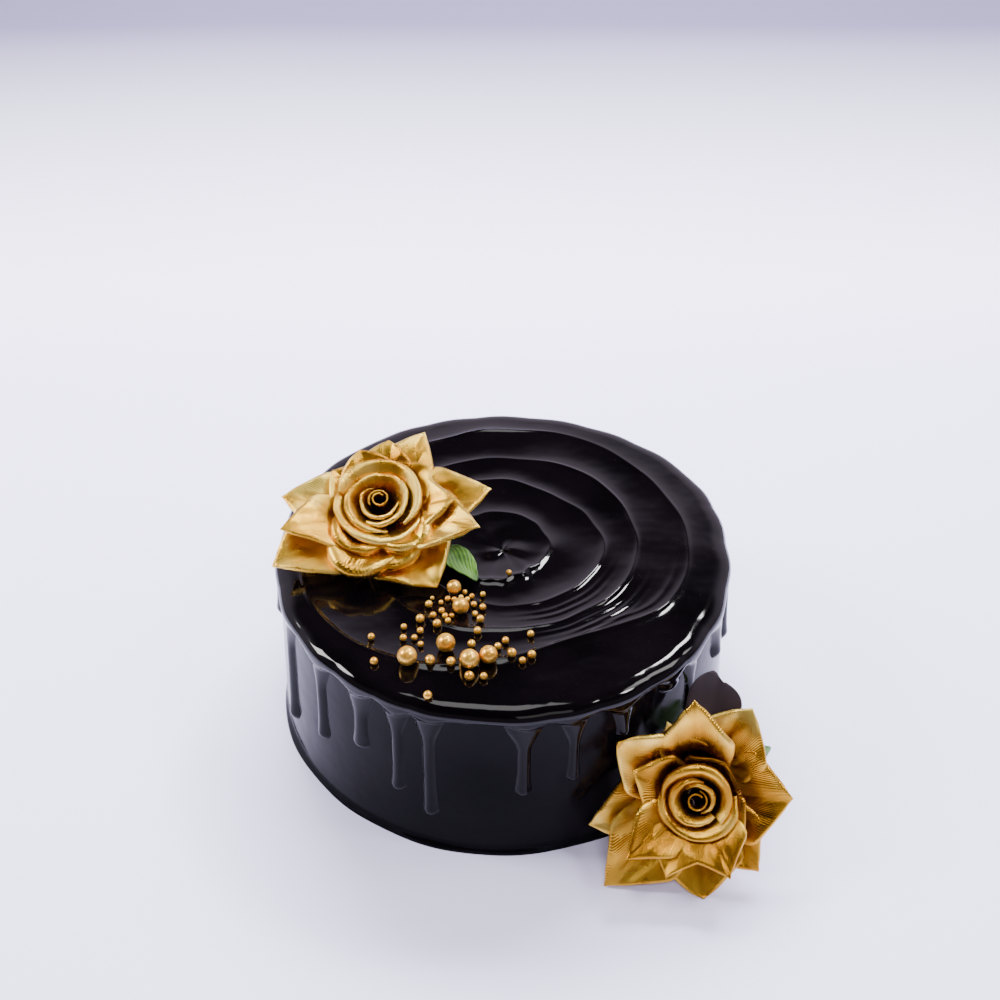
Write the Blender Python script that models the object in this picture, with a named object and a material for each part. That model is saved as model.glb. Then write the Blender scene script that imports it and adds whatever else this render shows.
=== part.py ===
# A round chocolate cake under a dark poured glaze, with two gold fabric roses, leaves and gold sugar pearls.
# Metres, +Z up. The origin is the middle of the cake's underside, and the front of the cake faces -Y.
import math

import bmesh
import bpy
from mathutils import Matrix, Vector
from mathutils.bvhtree import BVHTree

# Driving dimensions, in metres
MM = 0.001
CAKE_BASE_RADIUS = 98.0 * MM
CAKE_TOP_RADIUS = 94.8 * MM
CAKE_HEIGHT = 77.6 * MM
FOOT_RADIUS = 99.6 * MM
FOOT_HEIGHT = 4.0 * MM
GLAZE_TOP = 80.6 * MM
RIM_RISE = 2.6 * MM
SHOULDER_WIDTH = 8.0 * MM
SHOULDER_DEPTH = 5.0 * MM
DRIP_DEPTH = 2.9 * MM
CONTACT_GAP = 0.3 * MM
CAKE_SIDES = 56
PETAL_THICKNESS = 0.9 * MM
LEAF_THICKNESS = 0.9 * MM

# Drips of the glaze: (angle round the cake in degrees, height of the lower end, width at the root, width
# below), in mm
DRIPS = [
    (-176, 50, 9, 6.5),
    (-158, 16, 9, 6.4),
    (-141, 30, 9, 6.2),
    (-127, 41, 10, 7.0),
    (-117, 27, 9, 5.6),
    (-108.5, 18, 9, 5.6),
    (-86.5, 34, 12, 5.4),
    (-74.5, 39, 9, 4.6),
    (-62, 55, 8, 5.0),
    (-47, 66, 8, 6.0),
    (-39, 44, 9, 5.2),
    (-24, 52, 10, 6.4),
    (-6, 36, 9, 6.0),
    (10, 58, 8, 5.4),
    (22, 28, 10, 6.2),
    (41, 49, 9, 5.4),
    (56, 22, 9, 6.2),
    (72, 44, 10, 5.8),
    (90, 33, 9, 6.0),
    (104, 57, 9, 5.2),
    (118, 25, 10, 6.4),
    (141, 40, 11, 6.2),
    (160, 29, 9, 6.0),
]

# The crests that the palette knife left on top, from the middle out, as radii in mm at every 30 degrees from
# -180, and their heights; then the rim's radii in the same way
CREST_RADII = [
    (25, 25, 23, 21, 18, 18, 20, 20, 22, 24, 25, 26),
    (38, 37, 36, 36, 38, 40, 43, 42, 41, 46, 47, 42),
    (57, 56, 54, 51, 52, 55, 57, 59, 61, 61, 60, 58),
    (85, 86, 80, 68, 64, 76, 79, 79, 83, 81, 78, 81),
]
CREST_HEIGHTS = (1.4, 1.1, 1.2, 1.3)
CREST_FALL_OUTSIDE = 4.5 * MM
CREST_FALL_INSIDE = 7.0 * MM
RIM_RADII = (96.6, 97.5, 98, 98, 98, 97, 96.6, 99.5, 98.5, 98, 98.5, 98.5)

# Sugar pearls: (x, y, diameter), in mm. The large ones are pieces of their own.
LARGE_PEARLS = [
    (-38.5, -70.7, 7.8),
    (-23.7, -62.1, 7.6),
    (-14.4, -72.6, 7.8),
    (-7.0, -70.1, 7.2),
    (-17.9, -39.3, 6.8),
    (-20.7, -28.2, 6.0),
]
SMALL_PEARLS = [
    (-53.2, -56.4, 2.9),
    (-51.5, -70.0, 3.2),
    (-40.6, -49.9, 2.6),
    (-40.6, -56.6, 2.9),
    (-34.2, -45.9, 3.6),
    (-34.0, -52.2, 2.8),
    (-36.2, -56.2, 2.6),
    (-33.6, -60.2, 2.6),
    (-29.7, -71.5, 4.1),
    (-21.6, -72.2, 3.7),
    (-14.5, -78.7, 3.9),
    (-9.0, -78.6, 3.1),
    (-30.3, -88.0, 3.5),
    (-29.0, -43.4, 2.7),
    (-25.6, -40.2, 2.7),
    (-27.4, -48.8, 3.5),
    (-23.0, -47.2, 2.6),
    (-30.9, -36.5, 3.2),
    (-29.6, -32.0, 1.8),
    (-26.0, -34.8, 2.1),
    (-12.6, -36.0, 2.6),
    (-12.2, -41.8, 2.6),
    (-13.4, -31.2, 2.4),
    (-8.9, -29.8, 2.4),
    (-9.0, -37.8, 2.9),
    (-10.0, -45.6, 3.2),
    (-11.2, -53.1, 3.2),
    (-13.6, -60.4, 3.3),
    (-3.3, -62.0, 2.9),
    (-0.2, -58.6, 3.0),
    (2.1, -67.6, 3.7),
    (6.2, -70.4, 2.9),
    (9.9, -67.6, 3.4),
    (9.9, -55.1, 2.9),
    (2.1, -17.7, 2.5),
    (-23.3, -32.8, 2.4),
    (-20.6, -33.4, 2.4),
    (-17.8, -32.4, 2.2),
    (-16.3, -28.6, 2.2),
    (-15.2, -33.4, 2.2),
    (-24.2, -43.6, 2.6),
    (-21.5, -43.0, 2.2),
]

# Petals of the roses, by layer. A layer has its start and end slope from the rose's base plane in degrees,
# its start height in mm and its tip's droop in degrees. Its petals have (direction in degrees, length and
# half width in mm, share of the width left at the tip): a small share is pointed, a large one a blunt lip.
ROSE_TOP = [
    ((38, 2, 1.5, 20), [
        (66, 39.5, 12, 0.06), (11, 44.5, 15, 0.06), (169, 39.5, 15, 0.06), (212, 48.5, 17, 0.06),
        (302, 40, 19, 0.08),
    ]),
    ((52, 18, 3.5, 20), [
        (338, 46, 15, 0.06), (84, 31.5, 14, 0.10), (201, 44.5, 12, 0.06), (139, 27, 12, 0.08),
        (284, 29, 14, 0.45), (246, 35, 14, 0.45),
    ]),
    ((62, 36, 5.0, 30), [
        (232, 28, 12, 0.45), (310, 29, 13, 0.40), (30, 28, 13, 0.12), (110, 28, 13, 0.12),
    ]),
]
ROSE_SIDE = [
    ((38, 4, 1.5, 15), [
        (57, 39, 16, 0.08), (-2, 36, 18, 0.06), (309, 34, 13, 0.05), (272, 38, 17, 0.06),
        (223, 48, 16, 0.05), (195, 42, 14, 0.05),
    ]),
    ((52, 22, 3.5, 15), [(141, 41, 14, 0.05), (91, 43, 15, 0.05), (112, 36, 13, 0.05)]),
    ((56, 26, 5.0, 20), [
        (162, 30, 12, 0.05), (50, 18, 14, 0.05), (331, 24, 13, 0.05), (290, 33, 14, 0.05),
        (245, 33, 13, 0.05), (218, 36, 11, 0.05),
    ]),
]
# Each rose: the middle of its base in mm, the tilt of its axis from upright and the heading it leans to
ROSE_TOP_SEAT = ((-51.5, 9.0, 85.6), 22, -90)
ROSE_SIDE_SEAT = ((76.8, -86.9, 24.9), 54, -100)
PETAL_ROOT_RADIUS = 6.0 * MM
PETAL_ROLL = 2.6 * MM
PETAL_WIDEST = 0.58
# The petals wrapped round each bud, from the outside in: (direction and span in degrees, radius of the waist,
# radius of the flared rim, height), in mm
BUD_TOP = [
    (262, 222, 12.6, 18.0, 22.5),
    (60, 215, 11.6, 16.8, 25.0),
    (172, 225, 8.4, 13.2, 23.8),
    (350, 215, 7.6, 11.4, 24.8),
]
BUD_SIDE = [
    (250, 228, 10.0, 15.0, 21.0),
    (65, 222, 9.2, 13.6, 23.0),
    (190, 250, 6.4, 9.8, 22.4),
]
BUD_WAIST_SHARE = 0.4
# The rolled middle of each bud, and the space kept clear for it above the petals: (radius, height), in mm
CORE_TOP = [(5.0, 4.4), (7.4, 7.0), (5.2, 20.0), (4.4, 24.4)]
CORE_SIDE = [(5.0, 4.4), (7.0, 7.0), (3.8, 18.0), (3.2, 20.6)]
CLEARANCE_TOP = [(6.6, 4.1), (11.0, 7.0), (16.4, 13.0), (21.2, 20.0), (22.6, 25.5), (23.0, 32.0)]
CLEARANCE_SIDE = [(6.6, 4.1), (11.5, 7.0), (15.4, 13.0), (18.4, 19.0), (19.0, 24.0), (19.2, 31.0)]

# Leaves: (name, shape, base, direction, rise and roll in degrees, length, half width), in mm
LEAVES = [
    ("leaf_top", "pointed", (-25.5, -2.5, 83.4), -57, 0, 0, 26.0, 6.0),
    ("leaf_side_left", "pointed", (74.3, -81.7, 30.4), 132, 48, -60, 15.0, 4.5),
    ("leaf_side_right", "pointed", (81.0, -85.8, 25.4), 46, -18, 0, 50.0, 7.0),
    ("leaf_dark", "round", (77.4, -82.8, 29.2), 67, 62, 14, 44.5, 10.9),
]


def clear_scene():
    for old in list(bpy.data.objects):
        bpy.data.objects.remove(old, do_unlink=True)


def material(name, color, roughness, metallic=0.0):
    made = bpy.data.materials.new(name)
    made.use_nodes = True
    shader = made.node_tree.nodes["Principled BSDF"]
    shader.inputs["Base Color"].default_value = (*color, 1.0)
    shader.inputs["Roughness"].default_value = roughness
    shader.inputs["Metallic"].default_value = metallic
    return made


def add_object(name, points, faces, skin):
    """A mesh object of these points and faces, facing out, with one material."""
    mesh = bpy.data.meshes.new(name)
    mesh.from_pydata([tuple(p) for p in points], [], faces)
    mesh.materials.append(skin)
    mesh.validate()
    mesh.update()
    made = bpy.data.objects.new(name, mesh)
    bpy.context.scene.collection.objects.link(made)
    return made


def smooth(t):
    t = min(1.0, max(0.0, t))
    return t * t * (3.0 - 2.0 * t)


def polar(radius, angle, z):
    return Vector((radius * math.cos(angle), radius * math.sin(angle), z))


def angle_between(a, b):
    """The signed difference of two angles in degrees, from -180 to 180."""
    return (a - b + 180.0) % 360.0 - 180.0


def near_drips(angle, spread):
    """1 at the middle of a drip, falling to 0 between drips, with this spread in degrees."""
    degrees = math.degrees(angle)
    return max(math.exp(-((angle_between(degrees, d[0]) / spread) ** 2)) for d in DRIPS)


def wall_radius(z):
    """The radius of the cake's coated wall at a height."""
    return CAKE_BASE_RADIUS + (CAKE_TOP_RADIUS - CAKE_BASE_RADIUS) * z / CAKE_HEIGHT


def around(values, angle):
    """A value at each angle, smoothly between the values given at every 30 degrees from -180."""
    position = ((math.degrees(angle) + 180.0) % 360.0) / 30.0
    index = math.floor(position)
    share = position - index
    before, here, after, beyond = (values[(index + step) % 12] for step in (-1, 0, 1, 2))
    bend = 2.0 * before - 5.0 * here + 4.0 * after - beyond
    twist = 3.0 * (here - after) + beyond - before
    return here + 0.5 * share * (after - before + share * (bend + share * twist))


def rim_radius(angle):
    """The outer radius of the glaze, which bulges where a drip runs over the edge."""
    return MM * (around(RIM_RADII, angle) + 0.9 * (near_drips(angle, 6.0) - 0.5))


def glaze_edge(angle):
    """The height of the glaze's lower edge, which hangs lower at each drip."""
    return 75.5 * MM - 5.5 * MM * near_drips(angle, 4.6)


def top_height(radius, angle):
    """The height of the glaze on top: a shallow dish with the crests of the knife round it."""
    height = GLAZE_TOP - 0.4 * MM + RIM_RISE * smooth((radius / rim_radius(angle) - 0.2) / 0.7)
    for crest, rise in zip(CREST_RADII, CREST_HEIGHTS):
        away = radius - MM * around(crest, angle)
        fall = CREST_FALL_OUTSIDE if away > 0.0 else CREST_FALL_INSIDE
        height += rise * MM * (math.exp(-abs(away) / fall) - 0.25)
    return height


def lathe(name, rings, skin):
    """A closed solid from rings of points of equal count, from one pole to the other."""
    count = len(rings[0])
    points = [p for ring in rings for p in ring]
    faces = []
    for i in range(len(rings) - 1):
        for j in range(count):
            k = (j + 1) % count
            a, b = i * count + j, i * count + k
            c, d = (i + 1) * count + k, (i + 1) * count + j
            faces.append((a, b, c, d))
    first, last = len(points), len(points) + 1
    points.append(sum(rings[0], Vector()) / count)
    points.append(sum(rings[-1], Vector()) / count)
    base = (len(rings) - 1) * count
    for j in range(count):
        k = (j + 1) % count
        faces.append((first, k, j))
        faces.append((last, base + j, base + k))
    return add_object(name, points, faces, skin)


def cake_rings(segments, grow=0.0):
    """The coated cake from its underside up: a pooled foot, a slightly tapered wall and a soft upper edge."""
    edge = 4.0 * MM
    profile = [(FOOT_RADIUS, 0.0), (FOOT_RADIUS, 0.4 * FOOT_HEIGHT)]
    profile.append((wall_radius(FOOT_HEIGHT), FOOT_HEIGHT))
    for step in range(3):
        turn = math.pi / 2 * step / 2
        z = CAKE_HEIGHT - edge + edge * math.sin(turn)
        profile.append((CAKE_TOP_RADIUS - edge + edge * math.cos(turn), z))
    rings = []
    for radius, z in profile:
        ring = []
        for j in range(segments):
            angle = math.tau * j / segments
            foot = 0.5 * MM * math.sin(5.0 * angle) * (1.0 - smooth(z / FOOT_HEIGHT))
            ring.append(polar(radius + grow + foot, angle, z + (grow if z > FOOT_HEIGHT else -grow)))
        rings.append(ring)
    return rings


def glaze_cap(skin, segments=46):
    """The glaze's lid: its hanging edge, its round shoulder and its top, in rows that follow the crests."""
    angles = [math.tau * j / segments for j in range(segments)]
    rings = [[polar(0.8 * CAKE_TOP_RADIUS, angle, glaze_edge(angle)) for angle in angles]]
    rings.append([polar(rim_radius(angle) - 0.4 * MM, angle, glaze_edge(angle)) for angle in angles])
    for turn in (90, 50, 22):
        ring = []
        for angle in angles:
            radius = rim_radius(angle) - SHOULDER_WIDTH * (1.0 - math.sin(math.radians(turn)))
            drop = SHOULDER_DEPTH * (1.0 - math.cos(math.radians(turn)))
            ring.append(polar(radius, angle, top_height(radius, angle) - drop))
        rings.append(ring)
    lines = [[0.0] * 12, *CREST_RADII, [radius - SHOULDER_WIDTH / MM for radius in RIM_RADII]]
    for inner, outer in reversed(list(zip(lines, lines[1:]))):
        for share in (1.0, 0.62, 0.3):
            ring = []
            for angle in angles:
                radius = MM * ((1.0 - share) * around(inner, angle) + share * around(outer, angle))
                ring.append(polar(radius, angle, top_height(radius, angle)))
            rings.append(ring)
    return lathe("glaze", rings, skin)


def drip_piece(number, drip, skin, sides=6):
    """One drip: it leaves the rim broad, narrows, and ends in a round drop."""
    degrees, low, root_width, width = drip
    angle = math.radians(degrees)
    top = 78.0 * MM
    low = low * MM
    drop = 0.65 * width * MM
    span = top - low
    levels = [
        (top, 1.2 * root_width, 0.8),
        (top - min(9.0 * MM, 0.35 * span), 1.1 * width, 0.75),
        (low + min(3.4 * drop, 0.5 * span), 1.1 * width, 0.8),
        (low + min(1.3 * drop, 0.3 * span), 1.3 * width, 1.0),
        (low + min(0.3 * drop, 0.08 * span), 0.85 * width, 0.75),
    ]
    rings = []
    for z, across, depth in levels:
        centre = wall_radius(z) - 0.4 * MM
        ring = []
        for j in range(sides):
            turn = math.tau * j / sides
            along = 0.5 * across * MM * math.sin(turn)
            out = DRIP_DEPTH * depth * math.cos(turn)
            ring.append(polar(centre + out, angle + along / centre, z))
        rings.append(ring)
    rings.reverse()
    return lathe(f"drip_{number:02d}", rings, skin)


def ball(name, centre, radius, skin, segments=6, levels=3):
    """A faceted sphere."""
    rings = []
    for i in range(1, levels):
        turn = math.pi * i / levels
        z = -radius * math.cos(turn)
        ring = [centre + Vector((radius * math.sin(turn) * math.cos(math.tau * j / segments),
                                 radius * math.sin(turn) * math.sin(math.tau * j / segments), z))
                for j in range(segments)]
        rings.append(ring)
    made = lathe(name, rings, skin)
    poles = made.data.vertices
    poles[-2].co = centre - Vector((0, 0, radius))
    poles[-1].co = centre + Vector((0, 0, radius))
    return made


def apply_boolean(target, operation, others, solver="MANIFOLD"):
    """Joins or cuts the target with these objects, applies the result and removes them."""
    group = bpy.data.collections.new("operands")
    for other in others:
        bpy.context.scene.collection.objects.unlink(other)
        group.objects.link(other)
    modifier = target.modifiers.new("join", "BOOLEAN")
    modifier.operation = operation
    modifier.operand_type = "COLLECTION"
    modifier.collection = group
    modifier.solver = solver
    graph = bpy.context.evaluated_depsgraph_get()
    result = bpy.data.meshes.new_from_object(target.evaluated_get(graph))
    target.modifiers.clear()
    target.data = result
    for other in others:
        bpy.data.objects.remove(other, do_unlink=True)
    bpy.data.collections.remove(group)
    return target


def keep_outer_shell(target):
    """Fills the sealed pockets and drops the crumbs that a union leaves: only the largest shell stays."""
    mesh = bmesh.new()
    mesh.from_mesh(target.data)
    left = set(mesh.faces)
    shells = []
    while left:
        shell = set()
        front = [left.pop()]
        while front:
            face = front.pop()
            shell.add(face)
            joined = [edge.link_faces for edge in face.edges if len(edge.link_faces) == 2]
            near = {other for pair in joined for other in pair} & left
            left -= near
            front += near
        volume = sum(f.calc_center_median().dot(f.normal) * f.calc_area() / 3.0 for f in shell)
        shells.append((volume, shell))
    shells.sort(key=lambda entry: entry[0])
    for volume, shell in shells[:-1]:
        bmesh.ops.delete(mesh, geom=list(shell), context="FACES")
    mesh.to_mesh(target.data)
    mesh.free()


def build_cake(skin):
    return lathe("cake", cake_rings(CAKE_SIDES), skin)


def surface_tree(target):
    """A search tree over the faces of an object, to lay other pieces on it."""
    mesh = target.data
    return BVHTree.FromPolygons([v.co for v in mesh.vertices], [tuple(f.vertices) for f in mesh.polygons])


def pearl_seat(tree, x, y, radius, gap):
    """The middle of a pearl that lies on the glaze at a place in millimetres; a gap below 0 sinks it in."""
    above = Vector((x * MM, y * MM, GLAZE_TOP + 20.0 * MM))
    top = tree.ray_cast(above, Vector((0.0, 0.0, -1.0)))[0]
    centre = top + Vector((0.0, 0.0, radius + gap))
    if gap > 0.0:
        for _ in range(4):
            centre.z += max(0.0, radius + gap - tree.find_nearest(centre)[3])
    return centre


def build_glaze(skin):
    """The poured glaze with its drips and the small pearls that stick to it."""
    glaze = glaze_cap(skin)
    drips = [drip_piece(i, drip, skin) for i, drip in enumerate(DRIPS)]
    apply_boolean(glaze, "UNION", drips)
    cutter = lathe("cake_clearance", cake_rings(CAKE_SIDES, CONTACT_GAP), skin)
    apply_boolean(glaze, "DIFFERENCE", [cutter])
    tree = surface_tree(glaze)
    pearls = []
    for i, (x, y, diameter) in enumerate(SMALL_PEARLS):
        radius = 0.5 * diameter * MM
        centre = pearl_seat(tree, x, y, radius, -0.3 * radius)
        pearls.append(ball(f"pearl_{i:02d}", centre, radius, skin))
    apply_boolean(glaze, "UNION", pearls)
    keep_outer_shell(glaze)
    return glaze


def build_large_pearls(glaze, skin):
    tree = surface_tree(glaze)
    for i, (x, y, diameter) in enumerate(LARGE_PEARLS):
        radius = 0.5 * diameter * MM
        ball(f"pearl_large_{i + 1}", pearl_seat(tree, x, y, radius, CONTACT_GAP), radius, skin, 10, 6)


def rose_frame(seat):
    """The transform from a rose's own axes, +Z out through its bud, to the cake's."""
    (x, y, z), tilt, heading = seat
    axis = Vector((0.0, 0.0, 1.0)).cross(polar(1.0, math.radians(heading), 0.0))
    lean = Matrix.Rotation(math.radians(tilt), 4, axis)
    return Matrix.Translation(Vector((x, y, z)) * MM) @ lean


def thick_sheet(name, surface, columns, rows, thickness, skin, grow=0.0):
    """A closed sheet: surface(u, v) is its inner face, with u from -1 to 1 across and v from 0 to 1."""
    step = 1e-3
    inner = []
    outer = []
    for v in rows:
        for u in columns:
            here = surface(u, v)
            across = surface(u + step, v) - surface(u - step, v)
            along = surface(u, min(1.0, v + step)) - surface(u, max(0.0, v - step))
            normal = across.cross(along).normalized()
            inner.append(here - normal * grow)
            outer.append(here + normal * (thickness + grow))
    wide, tall = len(columns), len(rows)
    offset = wide * tall
    faces = []
    for i in range(tall - 1):
        for j in range(wide - 1):
            a, b = i * wide + j, i * wide + j + 1
            c, d = (i + 1) * wide + j + 1, (i + 1) * wide + j
            faces += [(a, c, b), (a, d, c)]
            faces += [(a + offset, b + offset, c + offset), (a + offset, c + offset, d + offset)]
    rim = list(range(wide))
    rim += [i * wide + wide - 1 for i in range(1, tall)]
    rim += [(tall - 1) * wide + j for j in range(wide - 2, -1, -1)]
    rim += [i * wide for i in range(tall - 2, 0, -1)]
    for i, a in enumerate(rim):
        b = rim[(i + 1) % len(rim)]
        faces += [(a, b, b + offset), (a, b + offset, a + offset)]
    return add_object(name, inner + outer, faces, skin)


def petal_surface(layer, petal, place):
    """A petal: a curved midrib, a broad body with a point, a cupped middle and edges rolled outward."""
    start, end, height, droop = layer
    direction, length, half_width, point = petal
    length, half_width, height = length * MM, half_width * MM, height * MM
    heading = math.radians(direction)

    def slope(v):
        tip = max(0.0, (v - 0.78) / 0.22)
        return math.radians(start + (end - start) * v - droop * tip * tip)

    def midrib(v):
        radius, z = PETAL_ROOT_RADIUS, height
        steps = 24
        for i in range(steps):
            angle = slope(v * (i + 0.5) / steps)
            radius += v * length / steps * math.cos(angle)
            z += v * length / steps * math.sin(angle)
        return radius, z

    def width(v):
        if v < PETAL_WIDEST:
            return half_width * (0.42 + 0.58 * math.sin(0.5 * math.pi * v / PETAL_WIDEST))
        return half_width * (1.0 - (1.0 - point) * (v - PETAL_WIDEST) / (1.0 - PETAL_WIDEST))

    def section(u, v):
        """The sideways and inward offset of the cross-section at this share of the half width."""
        half = width(v)
        cup = 1.25 * half_width
        roll = 0.30 * half
        reach = abs(u) * half
        side, rise, turn = 0.0, 0.0, 0.0
        steps = 16
        for i in range(steps):
            s = reach * (i + 0.5) / steps
            bend = 1.0 / cup if s < half - roll else -smooth(v / 0.3) * 0.75 / PETAL_ROLL
            side += reach / steps * math.cos(turn)
            rise += reach / steps * math.sin(turn)
            turn += bend * reach / steps
        return math.copysign(side, u), rise

    def surface(u, v):
        radius, z = midrib(v)
        side, rise = section(u, v)
        angle = slope(v)
        radius -= rise * math.sin(angle)
        z += rise * math.cos(angle)
        out = Vector((math.cos(heading), math.sin(heading), 0.0))
        left = Vector((-math.sin(heading), math.cos(heading), 0.0))
        return place @ (out * radius + left * side + Vector((0.0, 0.0, z)))

    return surface


def wrap_surface(wrap, place):
    """A petal of the bud: it winds round the axis, stands steep to its waist, then flares to its rim."""
    direction, span, waist, rim, crown = wrap
    root, floor = 5.2, 5.6

    def surface(u, v):
        angle = math.radians(direction + 0.5 * span * u)
        wind = 1.0 + 0.06 * u
        belly = math.sin(0.5 * math.pi * min(1.0, v / BUD_WAIST_SHARE))
        flare = max(0.0, (v - 0.3) / 0.7) ** 1.6
        radius = root + (waist * wind - root) * belly + (rim - waist) * wind * flare
        height = floor + (crown - 2.2 * u * u - floor) * v
        return place @ polar(radius * MM, angle, height * MM)

    return surface


def disc(name, place, levels, skin, sides=10):
    """A solid of revolution about a rose's axis, from (radius, height) levels in mm, lowest first."""
    rings = [[place @ polar(r * MM, math.tau * j / sides, z * MM) for j in range(sides)] for r, z in levels]
    return lathe(name, rings, skin)


def build_bud(name, place, core, wraps, skin):
    """The rolled bud of a rose: its core with the petals wrapped round it."""
    bud = disc(f"{name}_bud", place, core, skin)
    columns = [-1.0, -0.5, 0.0, 0.5, 1.0]
    rows = [0.0, BUD_WAIST_SHARE, 0.75, 1.0]
    pieces = [thick_sheet(f"wrap_{i}", wrap_surface(wrap, place), columns, rows, PETAL_THICKNESS, skin)
              for i, wrap in enumerate(wraps)]
    apply_boolean(bud, "UNION", pieces)
    keep_outer_shell(bud)


def build_petals(name, place, layers, clearance, skin):
    """The petals of a rose on their base, with room for its bud."""
    petals = disc(f"{name}_petals", place, [(6.0, -0.6), (8.2, 0.6), (8.0, 3.4), (4.0, 4.0)], skin)
    pieces = []
    columns = [-1.0, -0.4, 0.4, 1.0]
    rows = [0.0, 0.3, PETAL_WIDEST, 1.0]
    for i, (layer, members) in enumerate(layers):
        for j, petal in enumerate(members):
            surface = petal_surface(layer, petal, place)
            pieces.append(thick_sheet(f"petal_{i}_{j}", surface, columns, rows, PETAL_THICKNESS, skin))
    apply_boolean(petals, "UNION", pieces)
    apply_boolean(petals, "DIFFERENCE", [disc("bud_clearance", place, clearance, skin, 20)])
    keep_outer_shell(petals)


def leaf_surface(leaf):
    """A leaf: pointed at both ends, folded a little along its midrib, with a wavy edge."""
    _, shape, base, direction, rise, roll, length, half_width = leaf
    turn = Matrix.Rotation(math.radians(direction), 4, "Z") @ Matrix.Rotation(math.radians(-rise), 4, "Y")
    place = Matrix.Translation(Vector(base) * MM) @ turn @ Matrix.Rotation(math.radians(roll), 4, "X")

    def surface(u, v):
        if shape == "round":
            crown = (1.0 - (max(0.0, v - 0.7) / 0.31) ** 3) ** 0.6
            width = half_width * (0.12 + 0.88 * smooth((v - 0.12) / 0.52)) * crown
        else:
            width = half_width * max(0.06, math.sin(math.pi * v ** 0.85) ** 0.85)
        wave = 0.5 * math.sin(9.0 * v) * u * u
        lift = 0.22 * width * abs(u) + wave + 1.4 * math.sin(math.pi * v)
        return place @ (Vector((length * v, width * u, lift)) * MM)

    return surface


def build_leaf(leaf, skin):
    columns = [-1.0, 0.0, 1.0]
    rows = [0.0, 0.1, 0.25, 0.42, 0.6, 0.78, 0.9, 1.0]
    return thick_sheet(leaf[0], leaf_surface(leaf), columns, rows, LEAF_THICKNESS, skin)


def main():
    clear_scene()
    chocolate = material("chocolate_coat", (0.012, 0.008, 0.010), 0.14)
    dark_glaze = material("chocolate_glaze", (0.010, 0.006, 0.008), 0.08)
    gold_sugar = material("gold_sugar", (0.72, 0.42, 0.16), 0.35, 0.8)
    gold_fabric = material("gold_fabric", (0.74, 0.50, 0.17), 0.38, 0.85)
    green_leaf = material("green_leaf", (0.07, 0.22, 0.04), 0.5)
    dark_leaf = material("dark_leaf", (0.035, 0.026, 0.038), 0.7)
    build_cake(chocolate)
    glaze = build_glaze(dark_glaze)
    build_large_pearls(glaze, gold_sugar)
    top, side = rose_frame(ROSE_TOP_SEAT), rose_frame(ROSE_SIDE_SEAT)
    build_bud("rose_top", top, CORE_TOP, BUD_TOP, gold_fabric)
    build_petals("rose_top", top, ROSE_TOP, CLEARANCE_TOP, gold_fabric)
    build_bud("rose_side", side, CORE_SIDE, BUD_SIDE, gold_fabric)
    build_petals("rose_side", side, ROSE_SIDE, CLEARANCE_SIDE, gold_fabric)
    for leaf in LEAVES:
        build_leaf(leaf, dark_leaf if leaf[1] == "round" else green_leaf)


main()
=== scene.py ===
"""The looks of a round chocolate cake: mirror glaze with drips, gold fabric roses, leaves and sugar pearls.

Metres, +Z up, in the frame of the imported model: the origin is the middle of the cake's underside.
"""
import math

import bpy
import numpy as np
from mathutils import Matrix, Vector


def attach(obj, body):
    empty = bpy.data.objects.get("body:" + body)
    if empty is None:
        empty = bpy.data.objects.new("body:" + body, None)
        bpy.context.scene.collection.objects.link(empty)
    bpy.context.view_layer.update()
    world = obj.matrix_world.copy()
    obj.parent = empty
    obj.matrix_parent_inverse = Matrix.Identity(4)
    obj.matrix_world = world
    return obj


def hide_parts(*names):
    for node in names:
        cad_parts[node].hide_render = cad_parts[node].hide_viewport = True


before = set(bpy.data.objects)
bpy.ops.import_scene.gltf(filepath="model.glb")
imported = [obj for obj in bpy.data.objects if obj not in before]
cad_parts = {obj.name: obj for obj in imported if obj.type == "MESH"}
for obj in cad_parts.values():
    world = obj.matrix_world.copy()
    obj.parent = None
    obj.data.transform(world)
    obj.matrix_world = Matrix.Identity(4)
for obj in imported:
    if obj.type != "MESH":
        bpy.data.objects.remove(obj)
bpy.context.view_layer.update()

MM = 0.001
SEED = 7

# The camera: place in metres, then heading, pitch and roll in degrees, then lens and sensor in mm
CAMERA_PLACE = (-0.0102, -0.4783, 0.4929)
CAMERA_YAW = -1.06
CAMERA_PITCH = -38.94
CAMERA_ROLL = 0.07
CAMERA_LENS = 53.3
CAMERA_SENSOR = 36.0

# The cake, in metres
CAKE_BASE_RADIUS = 98.0 * MM
CAKE_TOP_RADIUS = 94.8 * MM
CAKE_HEIGHT = 77.6 * MM
COAT_TOP = 77.0 * MM
UNDERSIDE = 0.05 * MM
FOOT_HEIGHT = 4.0 * MM
FOOT_ROWS_MM = (0.6, 1.4, 2.2, 3.0)
GLAZE_TOP = 80.6 * MM
RIM_RISE = 2.6 * MM
SHOULDER_WIDTH = 8.0 * MM
SHOULDER_DEPTH = 5.0 * MM
EDGE_HEIGHT = 75.5 * MM
EDGE_SAG = 5.5 * MM
EDGE_ROUNDING = 5.0 * MM
GLAZE_LOW = 11.0 * MM
GLAZE_THINNEST = -1.2 * MM
GLAZE_THICKEST = 3.6 * MM
DRIP_DEPTH = 2.6 * MM
DRIP_SWELL = 0.30
DRIP_ROOT_LOW = 58.0 * MM
DRIP_ROOT_RISE = 18.0 * MM

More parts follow.
